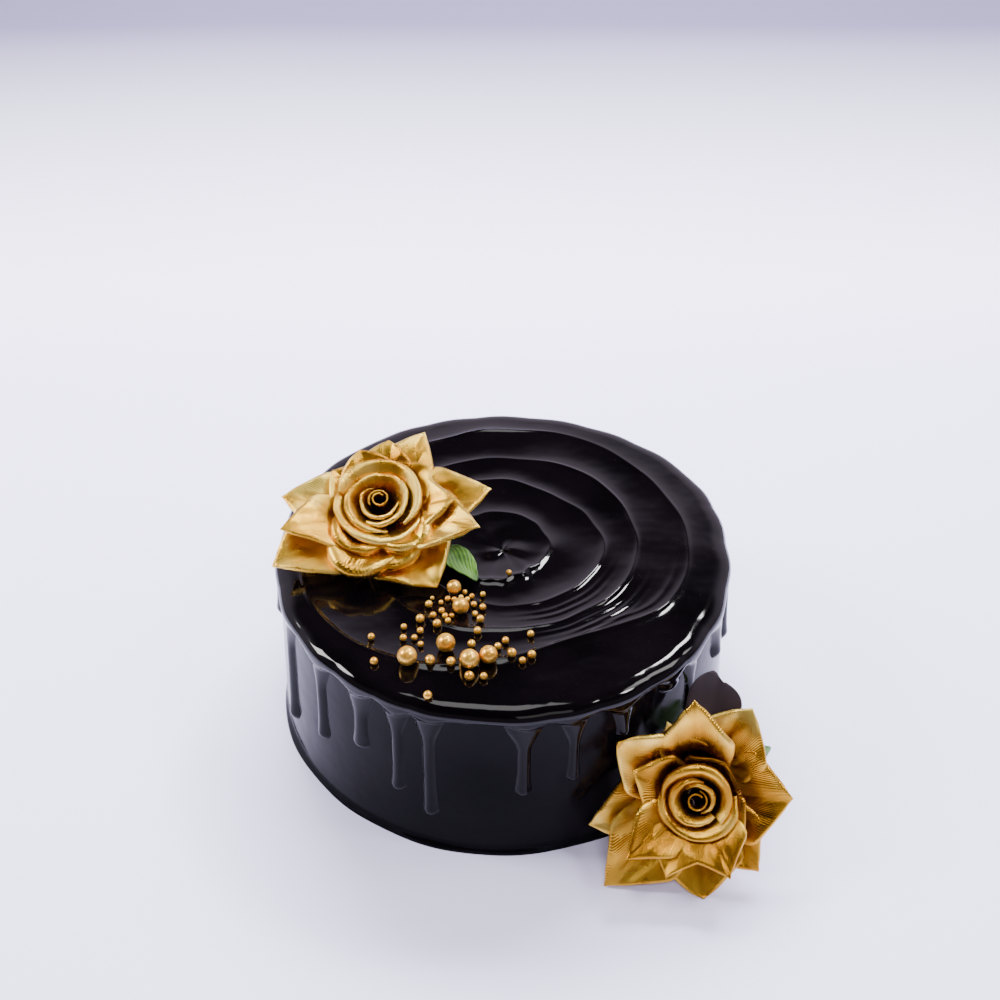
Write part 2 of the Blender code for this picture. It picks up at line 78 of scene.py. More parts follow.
# Drips of the glaze: (angle in degrees, height of the lower end, width at the root, width below), in mm
DRIPS = [
    (-176, 50, 9, 6.5),
    (-158, 16, 9, 6.4),
    (-141, 30, 9, 6.2),
    (-127, 41, 10, 7.0),
    (-117, 27, 9, 5.6),
    (-108.5, 18, 9, 5.6),
    (-86.5, 34, 12, 5.4),
    (-74.5, 39, 9, 4.6),
    (-62, 55, 8, 5.0),
    (-47, 66, 8, 6.0),
    (-39, 44, 9, 5.2),
    (-24, 52, 10, 6.4),
    (-6, 36, 9, 6.0),
    (10, 58, 8, 5.4),
    (22, 28, 10, 6.2),
    (41, 49, 9, 5.4),
    (56, 22, 9, 6.2),
    (72, 44, 10, 5.8),
    (90, 33, 9, 6.0),
    (104, 57, 9, 5.2),
    (118, 25, 10, 6.4),
    (141, 40, 11, 6.2),
    (160, 29, 9, 6.0),
]

# The crests that the palette knife left, as radii in mm at every 30 degrees from -180, from the middle out
CREST_RADII = [
    (25, 25, 23, 21, 18, 18, 20, 20, 22, 24, 25, 26),
    (38, 37, 36, 36, 38, 40, 43, 42, 41, 46, 47, 42),
    (57, 56, 54, 51, 52, 55, 57, 59, 61, 61, 60, 58),
    (85, 86, 80, 68, 64, 76, 79, 79, 83, 81, 78, 81),
]
RIM_RADII = (96.6, 97.5, 98, 98, 98, 97, 96.6, 99.5, 98.5, 98, 98.5, 98.5)
CREST_HEIGHTS = (1.4, 1.1, 1.2, 1.3)
CREST_FALL_OUTSIDE = 4.5 * MM
CREST_FALL_INSIDE = 7.0 * MM
CREST_EDGE = 0.35 * MM
CREST_RIDGE_WIDTH = 0.9 * MM
# Rows of points from the middle to the first crest, then from each crest to the next and on to the shoulder
CREST_ROWS = (12, 15, 26, 30, 12)
# Fine scratches beside the crests at the front right: (crest, distance outside it and height in mm,
# middle and spread in degrees)
FINE_RIDGES = [
    (1, 5.5, 0.30, -48, 26),
    (1, 9.0, 0.34, -58, 22),
    (2, 4.2, 0.34, -52, 24),
    (2, 7.8, 0.40, -44, 20),
    (2, 11.4, 0.34, -56, 18),
    (3, -5.0, 0.30, -34, 22),
]

# Sugar pearls: (x, y, diameter), in mm
LARGE_PEARLS = [
    (-38.5, -70.7, 7.8),
    (-23.7, -62.1, 7.6),
    (-14.4, -72.6, 7.8),
    (-7.0, -70.1, 7.2),
    (-17.9, -39.3, 6.8),
    (-20.7, -28.2, 6.0),
]
SMALL_PEARLS = [
    (-53.2, -56.4, 2.9),
    (-51.5, -70.0, 3.2),
    (-40.6, -49.9, 2.6),
    (-40.6, -56.6, 2.9),
    (-34.2, -45.9, 3.6),
    (-34.0, -52.2, 2.8),
    (-36.2, -56.2, 2.6),
    (-33.6, -60.2, 2.6),
    (-29.7, -71.5, 4.1),
    (-21.6, -72.2, 3.7),
    (-14.5, -78.7, 3.9),
    (-9.0, -78.6, 3.1),
    (-30.3, -88.0, 3.5),
    (-29.0, -43.4, 2.7),
    (-25.6, -40.2, 2.7),
    (-27.4, -48.8, 3.5),
    (-23.0, -47.2, 2.6),
    (-30.9, -36.5, 3.2),
    (-29.6, -32.0, 1.8),
    (-26.0, -34.8, 2.1),
    (-12.6, -36.0, 2.6),
    (-12.2, -41.8, 2.6),
    (-13.4, -31.2, 2.4),
    (-8.9, -29.8, 2.4),
    (-9.0, -37.8, 2.9),
    (-10.0, -45.6, 3.2),
    (-11.2, -53.1, 3.2),
    (-13.6, -60.4, 3.3),
    (-3.3, -62.0, 2.9),
    (-0.2, -58.6, 3.0),
    (2.1, -67.6, 3.7),
    (6.2, -70.4, 2.9),
    (9.9, -67.6, 3.4),
    (9.9, -55.1, 2.9),
    (2.1, -17.7, 2.5),
    (-23.3, -32.8, 2.4),
    (-20.6, -33.4, 2.4),
    (-17.8, -32.4, 2.2),
    (-16.3, -28.6, 2.2),
    (-15.2, -33.4, 2.2),
    (-24.2, -43.6, 2.6),
    (-21.5, -43.0, 2.2),
]

# Petals of the roses, by layer. A layer has its start and end slope from the rose's base plane in degrees,
# its start height in mm and its tip's droop in degrees. Its petals have a direction in degrees, then length,
# half width and radius of the rolled edge in mm, then sharpness: below 1 the tip is blunt and curls over like
# a lip, above 1 it is a point.
ROSE_TOP = [
    ((36, 0, 1.5, 20), [
        (65, 39.5, 12, 1.3, 1.15), (12, 44.5, 15, 1.3, 1.15), (169, 39.5, 14, 1.3, 1.15),
        (211, 48.0, 17, 1.4, 1.10), (304, 39.0, 18, 1.4, 1.00),
    ]),
    ((46, 16, 5.0, 20), [
        (340, 44.5, 14, 1.4, 1.20), (84, 29.5, 13, 1.4, 0.95), (200, 42.5, 12, 1.2, 1.20),
        (139, 25, 12, 1.4, 1.10), (284, 26, 12, 3.2, 0.60), (250, 32, 13, 3.2, 0.60),
    ]),
    ((46, 26, 9.5, 25), [
        (236, 22, 11, 2.8, 0.60), (311, 24, 11, 2.8, 0.70), (356, 30, 12, 1.4, 1.00), (38, 24, 12, 1.4, 0.90),
        (110, 24, 12, 1.4, 0.90),
    ]),
]
ROSE_SIDE = [
    ((34, 0, 1.5, 15), [
        (54, 37.5, 16, 1.4, 1.00), (-5, 33.5, 18, 1.4, 1.15), (305, 34.5, 13, 1.4, 1.30),
        (269, 39.5, 16, 1.4, 1.20), (221, 49, 16, 1.4, 1.25), (192, 41, 14, 1.2, 1.20),
    ]),
    ((44, 16, 5.0, 15), [(138, 40, 14, 1.4, 1.20), (87, 39.5, 14, 1.4, 1.20), (106, 31, 12, 1.3, 1.40)]),
    ((46, 22, 10.5, 15), [
        (149, 26, 11, 1.3, 1.45), (51, 15, 12, 1.3, 1.30), (318, 20, 11, 1.3, 1.40), (290, 30, 12, 1.3, 1.50),
        (243, 30, 12, 1.3, 1.45), (214, 34, 11, 1.4, 1.40),
    ]),
]
# Each rose: the middle of its base in mm, then the tilt of its axis and the heading it leans to, in degrees
ROSE_TOP_SEAT = ((-51.5, 9.0, 85.6), 22, -90)
ROSE_SIDE_SEAT = ((76.8, -86.9, 24.9), 54, -100)
PETAL_ROOT_RADIUS = 6.0
PETAL_ROOT_SHARE = 0.38
PETAL_THICKNESS = 0.5 * MM
# The rolled edge: the share of the sheet where it starts, its turn in degrees and how thin it is at a tip
ROLL_START = 0.66
ROLL_TURN = 215.0
SHARP_TIP_ROLL = 0.45
# Soft folds of a petal: (height in mm, waves across and along in radians per mm)
PETAL_FOLDS = [
    (0.28, 0.34, 0.06),
    (0.14, 0.9, 0.10),
    (0.12, 0.25, 0.5),
    (0.04, 2.1, -0.3),
]
# Where cloth lies against the cake's wall and on the floor
WALL_CONTACT_RADIUS = 99.6 * MM
WALL_CONTACT_TOP = 64.0 * MM
FLOOR_CONTACT = 0.8 * MM

# Petals wrapped round each bud: (direction and span in degrees, radius at the waist and at the rim, height,
# radius of the rolled rim), in mm
BUD_TOP = [
    (262, 222, 10.8, 17.6, 22.5, 1.60),
    (60, 215, 10.0, 16.2, 25.0, 1.50),
    (172, 225, 7.2, 12.4, 23.6, 1.30),
    (350, 215, 6.4, 10.8, 24.6, 1.15),
    (235, 240, 4.4, 7.2, 24.0, 0.80),
]
BUD_SIDE = [
    (250, 228, 8.6, 13.2, 21.0, 2.10),
    (65, 222, 7.8, 12.0, 23.0, 1.90),
    (190, 250, 4.8, 8.2, 22.0, 1.50),
    (30, 210, 3.8, 5.6, 21.0, 1.00),
]
WRAP_ROOT_HEIGHT = 6.0
WRAP_ROLL_START = 0.84
WRAP_ROLL_TURN = 165.0
WRAP_WAIST_RISE = 0.4
WRAP_FLARE_START = 0.35
WRAP_FLARE_POWER = 2.6
# The heading of a wrapped petal's rolled rim, out and up
ROLL_OUT, ROLL_UP = 0.74, 0.67
# The roll in the middle of each bud: (turns, inner radius, outer radius, height), in mm
CORE_TOP = (1.5, 1.0, 3.6, 23.4)
CORE_SIDE = (1.1, 1.8, 3.2, 19.6)
CORE_ROOT_HEIGHT = 8.0
CORE_ROLL_START = 0.8
CORE_ROLL_TURN = 170.0
CORE_ROLL_RADIUS = 0.40
# How often the weave repeats across and along a sheet of the bud
WRAP_WEAVE = (2.6, 2.0)
CORE_WEAVE = (3.0, 1.0)

# Leaves: (name, shape, base in mm, direction, rise and roll in degrees, length and half width in mm)
LEAVES = [
    ("leaf_top", "pointed", (-25.5, -2.5, 83.4), -57, 0, 0, 26.0, 6.0),
    ("leaf_side_left", "pointed", (74.3, -81.7, 30.4), 132, 48, -60, 15.0, 4.5),
    ("leaf_side_right", "pointed", (81.0, -85.8, 25.4), 46, -18, 0, 50.0, 7.0),
    ("leaf_dark", "round", (77.4, -82.8, 29.2), 67, 62, 14, 44.5, 10.9),
]
LEAF_THICKNESS = 0.5 * MM

FLOOR_HALF_WIDTH = 4.0


# Small helpers

def smooth(t):
    t = np.clip(t, 0.0, 1.0)
    return t * t * (3.0 - 2.0 * t)


def wrap_angle(degrees):
    """Angles in degrees brought to -180 to 180."""
    return (degrees + 180.0) % 360.0 - 180.0


def waves(angle, z, seed, count, lowest, highest):
    """Smooth noise over the wall: a sum of sine waves round the cake and up it, about -1 to 1."""
    draw = np.random.default_rng(seed)
    total = np.zeros(np.broadcast(angle, z).shape)
    for _ in range(count):
        cycles = draw.integers(lowest, highest + 1)
        up = draw.uniform(-0.6, 0.6) * cycles / CAKE_BASE_RADIUS
        total += np.sin(cycles * angle + up * z + draw.uniform(0.0, math.tau))
    return total / math.sqrt(count)


def make_mesh(name, points, faces, materials, uv=None):
    """A smooth-shaded mesh object; uv is one pair for each point."""
    mesh = bpy.data.meshes.new(name)
    mesh.from_pydata(np.asarray(points, dtype=float).tolist(), [], faces)
    for skin in materials:
        mesh.materials.append(skin)
    mesh.polygons.foreach_set("use_smooth", [True] * len(mesh.polygons))
    if uv is not None:
        layer = mesh.uv_layers.new(name="surface")
        index = np.empty(len(mesh.loops), dtype=np.int32)
        mesh.loops.foreach_get("vertex_index", index)
        layer.data.foreach_set("uv", np.asarray(uv, dtype=float)[index].ravel())
    mesh.update()
    made = bpy.data.objects.new(name, mesh)
    bpy.context.scene.collection.objects.link(made)
    return made


def grid_faces(rows, columns, closed):
    """Quads of a grid of points, rows by columns, joined round if closed."""
    faces = []
    last = columns if closed else columns - 1
    for i in range(rows - 1):
        for j in range(last):
            k = (j + 1) % columns
            faces.append((i * columns + j, i * columns + k, (i + 1) * columns + k, (i + 1) * columns + j))
    return faces


def settle(piece, slot_name, *nodes):
    """Fixes a piece to the part's one body and hides the solids it stands for."""
    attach(piece, "root")
    if nodes:
        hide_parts(*nodes)
    return piece


# Materials

class Shader:
    """A short way to build a node material around one Principled shader."""

    def __init__(self, name):
        self.material = bpy.data.materials.new(name)
        self.material.use_nodes = True
        self.tree = self.material.node_tree
        self.main = self.tree.nodes["Principled BSDF"]

    def node(self, kind, **settings):
        """A new node; a setting is one of its own or else a value for an input, with _ for each space."""
        made = self.tree.nodes.new(kind)
        for key, value in settings.items():
            if hasattr(made, key):
                setattr(made, key, value)
            else:
                made.inputs[key.replace("_", " ")].default_value = value
        return made

    def link(self, source, target):
        self.tree.links.new(source, target)

    def set(self, **values):
        """Fixed values for the main shader's inputs, with _ for each space."""
        for key, value in values.items():
            self.main.inputs[key.replace("_", " ")].default_value = value

    def coordinates(self, kind="Object"):
        return self.node("ShaderNodeTexCoord").outputs[kind]

    def noise(self, vector, scale, detail=3.0, roughness=0.5):
        made = self.node("ShaderNodeTexNoise", Scale=scale, Detail=detail, Roughness=roughness)
        self.link(vector, made.inputs["Vector"])
        return made.outputs["Fac"]

    def ramp(self, factor, stops):
        """Colours at positions along a factor: stops are (position, (r, g, b))."""
        made = self.node("ShaderNodeValToRGB")
        points = made.color_ramp.elements
        while len(points) < len(stops):
            points.new(0.5)
        for point, (position, color) in zip(points, stops):
            point.position = position
            point.color = (*color, 1.0)
        self.link(factor, made.inputs["Fac"])
        return made.outputs["Color"]

    def span(self, factor, low, high, start=0.0, end=1.0):
        """A number from start to end as the factor goes from low to high."""
        made = self.node("ShaderNodeMapRange")
        for key, value in (("From Min", low), ("From Max", high), ("To Min", start), ("To Max", end)):
            made.inputs[key].default_value = value
        self.link(factor, made.inputs["Value"])
        return made.outputs["Result"]

    def math(self, operation, first, second):
        made = self.node("ShaderNodeMath", operation=operation)
        for socket, value in zip(made.inputs, (first, second)):
            if isinstance(value, (int, float)):
                socket.default_value = value
            else:
                self.link(value, socket)
        return made.outputs["Value"]

    def bump(self, height, strength, distance, under=None):
        made = self.node("ShaderNodeBump", Strength=strength, Distance=distance)
        self.link(height, made.inputs["Height"])
        if under is not None:
            self.link(under, made.inputs["Normal"])
        return made.outputs["Normal"]


def glaze_material(name, color_low, color_high, roughness, specular):
    """Dark chocolate mirror glaze: nearly black, with faint clouding, fine grain and a soft unevenness."""
    s = Shader(name)
    place = s.coordinates()
    cloud = s.noise(place, 28.0, 3.0)
    s.link(s.ramp(cloud, [(0.35, color_low), (0.7, color_high)]), s.main.inputs["Base Color"])
    fine = s.noise(place, 160.0, 2.0)
    s.link(s.span(fine, 0.3, 0.75, roughness * 0.7, roughness * 1.6), s.main.inputs["Roughness"])
    swell = s.noise(place, 55.0, 2.0)
    lumps = s.bump(swell, 0.25, 0.0012)
    s.link(s.bump(fine, 0.05, 0.0003, lumps), s.main.inputs["Normal"])
    s.set(IOR=1.5, Specular_IOR_Level=specular)
    return s.material


def gold_fabric_material():
    """Metallic gold cloth: threads along the petal, a fainter weave across, soft creases and pale patches.

    It is browner towards the petals' roots, painted shade where the petals crowd together, and a little paler
    high up and darker low down, painted light and shade by height.
    """
    s = Shader("gold_fabric")
    uv = s.coordinates("UV")
    place = s.coordinates()
    warp = s.node("ShaderNodeTexWave", bands_direction="X", Scale=9.0, Distortion=1.2, Detail_Scale=1.5)
    s.link(uv, warp.inputs["Vector"])
    weft = s.node("ShaderNodeTexWave", bands_direction="Y", Scale=8.0, Distortion=0.4, Detail_Scale=3.0)
    s.link(uv, weft.inputs["Vector"])
    long_threads = s.math("MULTIPLY", warp.outputs["Fac"], 0.8)
    cross_threads = s.math("MULTIPLY", weft.outputs["Fac"], 0.2)
    weave = s.math("ADD", long_threads, cross_threads)
    crease = s.noise(place, 75.0, 2.0, 0.45)
    patch = s.noise(place, 38.0, 3.0)
    along = s.node("ShaderNodeSeparateXYZ")
    s.link(uv, along.inputs["Vector"])
    # Painted shade: the colour turns browner towards each petal's root, where the petals crowd together
    root = s.span(along.outputs["Y"], 0.5, 2.4, -0.34, 0.0)
    # Painted light and shade by height: the upper rose is a little paler and the lower rose darker
    height = s.node("ShaderNodeSeparateXYZ")
    s.link(place, height.inputs["Vector"])
    low = s.span(height.outputs["Z"], 0.03, 0.085, -0.02, 0.07)
    tone = s.math("ADD", s.math("MULTIPLY", patch, 0.80), s.math("MULTIPLY", crease, 0.20))
    tone = s.math("ADD", tone, s.math("ADD", root, low))
    stops = [
        (0.12, (0.16, 0.060, 0.006)),
        (0.36, (0.50, 0.23, 0.016)),
        (0.52, (0.74, 0.42, 0.042)),
        (0.66, (0.96, 0.68, 0.14)),
    ]
    s.link(s.ramp(tone, stops), s.main.inputs["Base Color"])
    s.link(s.span(crease, 0.3, 0.7, 0.20, 0.34), s.main.inputs["Roughness"])
    folds = s.bump(crease, 0.20, 0.0012)
    s.link(s.bump(weave, 0.34, 0.00025, folds), s.main.inputs["Normal"])
    s.set(Metallic=1.0)
    return s.material


def gold_sugar_material():
    """Sugar pearls under gold dust: satin, a little grainy, browner in patches."""
    s = Shader("gold_sugar")
    place = s.coordinates()
    grain = s.noise(place, 900.0, 3.0)
    patch = s.noise(place, 190.0, 2.0)
    stops = [(0.35, (0.84, 0.39, 0.040)), (0.65, (0.98, 0.60, 0.10))]
    s.link(s.ramp(patch, stops), s.main.inputs["Base Color"])
    s.link(s.span(grain, 0.3, 0.7, 0.26, 0.38), s.main.inputs["Roughness"])
    s.link(s.bump(grain, 0.25, 0.0001), s.main.inputs["Normal"])
    s.set(Metallic=0.85, Coat_Weight=0.15, Coat_Roughness=0.25)
    return s.material


def leaf_material(name, dark, light, roughness, vein):
    """A cloth leaf: side veins, blotches of a darker and a lighter tone, and a fine grain."""
    s = Shader(name)
    uv = s.coordinates("UV")
    place = s.coordinates()
    veins = s.node("ShaderNodeTexWave", bands_direction="DIAGONAL", Scale=2.2, Distortion=1.2)
    s.link(uv, veins.inputs["Vector"])
    blotch = s.noise(place, 120.0, 3.0)
    vein_share = 0.3 * vein
    share = s.math("MULTIPLY", veins.outputs["Fac"], vein_share)
    tone = s.math("ADD", share, s.math("MULTIPLY", blotch, 1.0 - vein_share))
    s.link(s.ramp(tone, [(0.3, dark), (0.75, light)]), s.main.inputs["Base Color"])
    s.link(s.span(blotch, 0.3, 0.7, roughness - 0.08, roughness + 0.08), s.main.inputs["Roughness"])
    grain = s.bump(blotch, 0.2, 0.0004)
    s.link(s.bump(veins.outputs["Fac"], vein_share, 0.0004, grain), s.main.inputs["Normal"])
    return s.material


def floor_material():
    """A pale matt studio floor, faintly cloudy, a little darker close in front and grey far behind the cake:
    painted shade where less light falls.
    """
    s = Shader("studio_floor")
    place = s.coordinates()
    split = s.node("ShaderNodeSeparateXYZ")
    s.link(place, split.inputs["Vector"])
    # Painted shade: the floor darkens to grey far behind the cake, and is a little darker close in front
    far = s.span(split.outputs["Y"], 0.25, 0.95)
    cloud = s.math("MULTIPLY", s.noise(place, 1.3, 2.0), 0.12)
    near, pale, grey = (0.71, 0.69, 1.0), (0.79, 0.77, 1.0), (0.14, 0.125, 0.235)
    tone = s.ramp(s.math("ADD", far, cloud), [(0.02, near), (0.22, pale), (0.84, grey)])
    s.link(tone, s.main.inputs["Base Color"])
    s.set(Roughness=0.7)
    return s.material


# The cake's coat and the glaze

def wall_radius(z):
    return CAKE_BASE_RADIUS + (CAKE_TOP_RADIUS - CAKE_BASE_RADIUS) * z / CAKE_HEIGHT


def near_drips(degrees, spread):
    """1 at the middle of a drip, falling to 0 between drips, with this spread in degrees."""
    best = np.zeros_like(degrees)
    for drip in DRIPS:
        best = np.maximum(best, np.exp(-((wrap_angle(degrees - drip[0]) / spread) ** 2)))
    return best


def around(values, angle):
    """A value at each angle, smoothly between the values given at every 30 degrees from -180."""
    values = np.array(values, dtype=float)
    position = (np.degrees(angle) + 180.0) / 30.0
    index = np.floor(position).astype(int)
    share = position - index
    weights = (-0.5 * share + share**2 - 0.5 * share**3, 1.0 - 2.5 * share**2 + 1.5 * share**3,
               0.5 * share + 2.0 * share**2 - 1.5 * share**3, -0.5 * share**2 + 0.5 * share**3)
    return sum(weight * values[(index + step) % 12] for step, weight in zip((-1, 0, 1, 2), weights))


def rim_radius(angle):
    return MM * (around(RIM_RADII, angle) + 0.9 * (near_drips(np.degrees(angle), 6.0) - 0.5))


def glaze_edge(angle):
    """The height of the glaze's lower edge, which hangs lower at each drip."""
    uneven = 0.9 * MM * waves(angle, 0.0, SEED, 6, 5, 23)
    return EDGE_HEIGHT - EDGE_SAG * near_drips(np.degrees(angle), 4.6) + uneven


def crest_radius(number, angle):
    """The radius of a crest at each angle, from its values at every 30 degrees, with a slight wander."""
    wander = 0.35 * waves(angle, 0.0, SEED + 11 + number, 5, 4, 17)
    return (around(CREST_RADII[number], angle) + wander) * MM


def crest_height(number, angle):
    """The height of a crest: it swells and fades round the cake."""
    swell = 1.0 + 0.35 * waves(angle, 0.0, SEED + 31 + number, 4, 1, 5)
    return CREST_HEIGHTS[number] * MM * np.clip(swell, 0.45, 1.5)


def top_height(radius, angle):
    """The height of the glaze on top without its shoulder: a dish with crests, scratches and a swirl."""
    rim = rim_radius(angle)
    height = GLAZE_TOP - 0.4 * MM + RIM_RISE * smooth((radius / rim - 0.2) / 0.7)
    for number in range(len(CREST_RADII)):
        away = radius - crest_radius(number, angle)
        soft = np.sqrt(away * away + CREST_EDGE ** 2) - CREST_EDGE
        fall = np.where(away > 0.0, CREST_FALL_OUTSIDE, CREST_FALL_INSIDE)
        ridge = 0.22 * np.exp(-((away / CREST_RIDGE_WIDTH) ** 2))
        height = height + crest_height(number, angle) * (np.exp(-soft / fall) - 0.25 + ridge)
    for number, offset, rise, middle, spread in FINE_RIDGES:
        away = (radius - crest_radius(number, angle) - offset * MM) / CREST_RIDGE_WIDTH
        near = np.exp(-((wrap_angle(np.degrees(angle) - middle) / spread) ** 2))
        height = height + rise * MM * near * np.exp(-away * away)
    x, y = radius * np.cos(angle), radius * np.sin(angle)
    ripple = np.sin(x / (9.0 * MM) + 1.3 * np.sin(y / (13.0 * MM))) * np.sin(y / (8.0 * MM) + 0.8)
    height = height + 0.10 * MM * ripple
    swirl = np.exp(-((radius / (15.0 * MM)) ** 2))
    height = height + swirl * 0.35 * MM * np.sin(2.0 * angle + radius / (3.2 * MM))
    return height


def full_height(radius, angle):
    """The height of the glaze on top, with its rounded shoulder."""
    inset = np.clip((radius - rim_radius(angle) + SHOULDER_WIDTH) / SHOULDER_WIDTH, 0.0, 1.0)
    return top_height(radius, angle) - SHOULDER_DEPTH * (1.0 - np.sqrt(1.0 - inset * inset))


def drip_thickness(angle, z, drip):
    """How far a drip stands out of the wall: rounded across, with a full drop at its lower end."""
    degrees, low, root_width, width = drip
    low = low * MM
    belly = 0.5 * (1.0 + DRIP_SWELL) * width * MM
    lean = 0.5 * MM * np.sin(z / (17.0 * MM) + degrees)
    side = np.radians(wrap_angle(np.degrees(angle) - degrees)) * CAKE_BASE_RADIUS + lean
    centre = low + belly
    below = np.minimum(z - centre, 0.0)
    above = np.maximum(z - centre, 0.0)
    neck = 0.5 * width * MM * (1.0 + DRIP_SWELL * np.exp(-above / (5.0 * MM)))
    flare = 0.5 * root_width * MM * smooth((z - DRIP_ROOT_LOW) / DRIP_ROOT_RISE)
    half = neck + flare
    away = np.sqrt(side * side + below * below) / half
    depth = DRIP_DEPTH * (0.70 + 0.30 * np.exp(-above / (6.0 * MM)))
    return depth * (1.0 - away * away)


def soft_max(a, b, blend):
    """The larger of two heights, rounded where they cross."""
    share = np.clip(0.5 + 0.5 * (a - b) / blend, 0.0, 1.0)
    return b * (1.0 - share) + a * share + blend * share * (1.0 - share)


def glaze_thickness(angle, z):
    """How far the glaze stands out of the wall; below 0 it lies hidden inside the cake's coat."""
    edge = glaze_edge(angle)
    full = rim_radius(angle) - wall_radius(z)
    rise = (z - edge) / EDGE_ROUNDING
    rounded = full * np.sqrt(np.clip(1.0 - (1.0 - np.clip(rise, 0.0, 1.0)) ** 2, 0.0, 1.0))
    total = np.where(rise > 0.0, rounded, 2.0 * MM * rise)
    for drip in DRIPS:
        total = soft_max(total, drip_thickness(angle, z, drip), 1.0 * MM)
    return np.clip(total, GLAZE_THINNEST, GLAZE_THICKEST)


def glaze_columns():
    """Angles round the cake, closer together at the front than at the back."""
    front = np.radians(np.linspace(-205.0, 25.0, 410, endpoint=False))
    back = np.radians(np.linspace(25.0, 155.0, 130, endpoint=False))
    return wrap_angle(np.degrees(np.concatenate([front, back]))) * math.pi / 180.0


def ring(radius, angle, z):
    """Points round the cake, one for each angle."""
    return np.stack([radius * np.cos(angle), radius * np.sin(angle), z], axis=1)


def clustered(count):
    """Shares from 0 to 1 that lie closer together near both ends."""
    t = np.linspace(0.0, 1.0, count, endpoint=False)
    return 0.5 - 0.5 * np.cos(math.pi * t) * (0.55 + 0.45 * np.abs(np.cos(math.pi * t)))


def top_rows(angle):
    """Radius and height of rows of points over the top. They follow the crests, so that these stay crisp."""
    rows = []
    bounds = [np.full_like(angle, 0.4 * MM)]
    bounds += [crest_radius(number, angle) for number in range(len(CREST_RADII))]
    bounds.append(rim_radius(angle) - SHOULDER_WIDTH)
    for inner, outer, count in zip(bounds, bounds[1:], CREST_ROWS):
        for share in clustered(count):
            radius = inner + (outer - inner) * share
            rows.append((radius, full_height(radius, angle)))
    return rows


def crown_height(angle):
    """The height of the rim, where the shoulder ends and the wall begins."""
    return top_height(rim_radius(angle), angle) - SHOULDER_DEPTH


def shoulder_rows(angle):
    """Radius and height of rows of points round the shoulder, into which the top's relief fades."""
    rows = []
    rim = rim_radius(angle)
    for share in np.linspace(0.0, 1.0, 13):
        turn = 0.5 * math.pi * share
        radius = rim - SHOULDER_WIDTH + SHOULDER_WIDTH * math.sin(turn)
        fade = math.cos(turn) ** 2
        height = crown_height(angle) + SHOULDER_DEPTH * math.cos(turn)
        height = height + fade * (top_height(radius, angle) - top_height(rim, angle))
        rows.append((radius, height))
    return rows


def drip_rows(angle):
    """Radius and height of rows of points down the wall. Between drips they lie inside the cake's coat."""
    rows = []
    rim = rim_radius(angle)
    crown = crown_height(angle)
    for share in np.linspace(0.0, 1.0, 60)[1:]:
        z = crown + (GLAZE_LOW - crown) * share
        blend = smooth((crown - z) / (3.0 * MM))
        radius = wall_radius(z) + glaze_thickness(angle, z)
        rows.append((rim * (1.0 - blend) + radius * blend, z))
    return rows


def build_glaze(skin, shaded_drip_skin):
    """One skin over the top, the shoulder and the drips; the wall's part of it takes the drips' material, a
    copy of the glaze with weaker reflection: painted shade that makes the drips darker than the top.
    """
    angle = glaze_columns()
    rows = top_rows(angle) + shoulder_rows(angle)
    first_wall_face = (len(rows) - 1) * len(angle)
    rows += drip_rows(angle)
    points = [ring(radius, angle, z) for radius, z in rows]
    centre = np.array([[0.0, 0.0, float(np.mean(rows[0][1]))]])
    cloud = np.concatenate(points + [centre])
    faces = [face[::-1] for face in grid_faces(len(rows), len(angle), True)]
    wall_faces = range(first_wall_face, len(faces))
    last = len(cloud) - 1
    faces += [(j, (j + 1) % len(angle), last) for j in range(len(angle))]
    made = make_mesh("glaze_skin", cloud, faces, [skin, shaded_drip_skin])
    for index in wall_faces:
        made.data.polygons[index].material_index = 1
    return settle(made, "chocolate_glaze", "glaze")


def build_coat(skin):
    """The cake's own coat: a wall with a faint unevenness, a pooled foot and a flat underside."""
    count = 420
    angle = np.linspace(-math.pi, math.pi, count, endpoint=False)
    foot_rows = [row * MM for row in FOOT_ROWS_MM]
    heights = np.concatenate([[UNDERSIDE], foot_rows, np.linspace(FOOT_HEIGHT, COAT_TOP, 74)])
    rings = []
    for z in heights:
        foot = 1.0 - smooth(z / FOOT_HEIGHT)
        pool = (1.5 + 0.35 * waves(angle, 0.0, SEED + 5, 6, 3, 19)) * MM * foot
        uneven = 0.16 * MM * waves(angle, z, SEED + 3, 8, 2, 11)
        rings.append(ring(wall_radius(z) + pool + uneven, angle, np.full_like(angle, z)))
    cloud = np.concatenate(rings + [np.array([[0.0, 0.0, UNDERSIDE], [0.0, 0.0, COAT_TOP]])])
    faces = grid_faces(len(rings), count, True)
    low, high = len(cloud) - 2, len(cloud) - 1
    top = (len(rings) - 1) * count
    faces += [((j + 1) % count, j, low) for j in range(count)]
    faces += [(top + j, top + (j + 1) % count, high) for j in range(count)]
    return settle(make_mesh("cake_coat", cloud, faces, [skin]), "chocolate_coat", "cake")


def ball_mesh(centre, radius, segments, rings):
    """Points and faces of a sphere with its poles up and down."""
    points = []
    for i in range(1, rings):
        turn = math.pi * i / rings
        for j in range(segments):
            heading = math.tau * j / segments
            points.append((centre[0] + radius * math.sin(turn) * math.cos(heading),
                           centre[1] + radius * math.sin(turn) * math.sin(heading),
                           centre[2] - radius * math.cos(turn)))
    faces = grid_faces(rings - 1, segments, True)
    low, high = len(points), len(points) + 1
    points.append((centre[0], centre[1], centre[2] - radius))
    points.append((centre[0], centre[1], centre[2] + radius))
    last = (rings - 2) * segments
    faces += [((j + 1) % segments, j, low) for j in range(segments)]
    faces += [(last + j, last + (j + 1) % segments, high) for j in range(segments)]
    return points, faces


